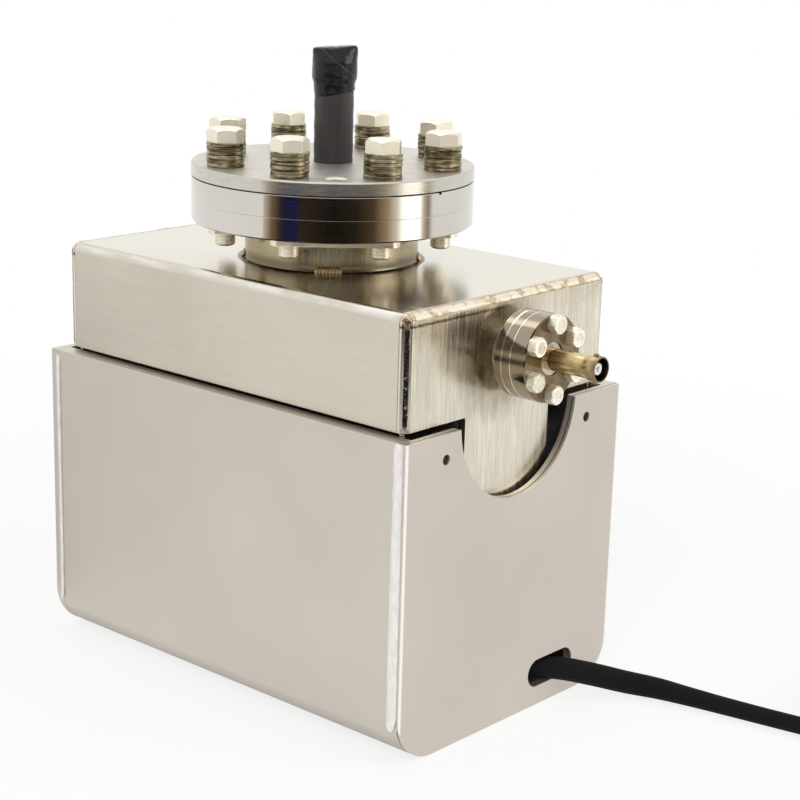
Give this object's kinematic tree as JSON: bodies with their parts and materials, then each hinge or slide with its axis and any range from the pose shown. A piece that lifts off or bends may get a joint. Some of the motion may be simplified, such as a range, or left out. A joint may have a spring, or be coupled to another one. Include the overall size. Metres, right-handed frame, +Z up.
{
  "type": "sputter ion pump",
  "caption": "Sputter ion pump: a welded magnet housing round a steel vacuum chamber, with a blanked inlet flange, pump-out tube, high-voltage feedthrough and heater lead.",
  "frame": {"origin": "on the surface that the pump stands on, under the axis of the inlet flange", "axes": "+Z up along the inlet axis, -Y towards the high-voltage feedthrough, +X to the right as seen from in front of the feedthrough"},
  "size_m": [0.2306, 0.3797, 0.2562],
  "materials": {
    "housing": "satin",
    "chamber": "satin",
    "flange": "polished",
    "cover": "satin",
    "bolt": "satin",
    "washer": "satin",
    "weld": "satin",
    "copper": "satin",
    "brass": "satin",
    "sleeve": "matte",
    "tape": "gloss",
    "ceramic": "satin",
    "titanium": "satin",
    "stainless": "satin",
    "ferrite": "matte",
    "heater": "matte",
    "terminal": "satin",
    "braid": "matte",
    "plug": "matte"
  },
  "bodies": {
    "root": {"anode_cells": "stainless", "anode_standoffs": "ceramic", "bakeout_heater_left": "heater", "bakeout_heater_right": "heater", "cathode_left": "titanium", "cathode_right": "titanium", "chamber_front_end": "chamber", "chamber_pocket": "chamber", "chamber_rear_end": "chamber", "chamber_shell": "chamber", "connector_insulator": "ceramic", "connector_shell": "brass", "connector_weld_ring": "stainless", "cover_bolts": "bolt", "cover_washers": "washer", "feedthrough_base_flange": "flange", "feedthrough_bolts": "bolt", "feedthrough_ceramic": "ceramic", "feedthrough_flange": "flange", "feedthrough_gasket": "copper", "feedthrough_tube": "stainless", "feedthrough_tube_weld": "weld", "heater_lead": "braid", "heater_lead_coil": "braid", "heater_lead_tail": "braid", "heater_lead_tie": "plug", "heater_plug": "plug", "heater_terminal": "terminal", "heater_wires": "braid", "high_voltage_conductor": "stainless", "housing_corner_welds": "weld", "housing_front_cover": "housing", "housing_front_plate": "housing", "housing_rear_plate": "housing", "housing_yoke": "housing", "inlet_flange": "flange", "inlet_gasket": "copper", "inlet_tube": "stainless", "inlet_tube_weld": "weld", "magnets_left": "ferrite", "magnets_right": "ferrite", "plate_nuts": "stainless", "plug_prongs": "brass", "pocket_supports": "stainless", "pump_out_cap": "tape", "pump_out_sleeve": "sleeve", "pump_out_tube": "copper", "shipping_cover": "cover", "sputter_shields": "stainless"}
  },
  "joints": []
}
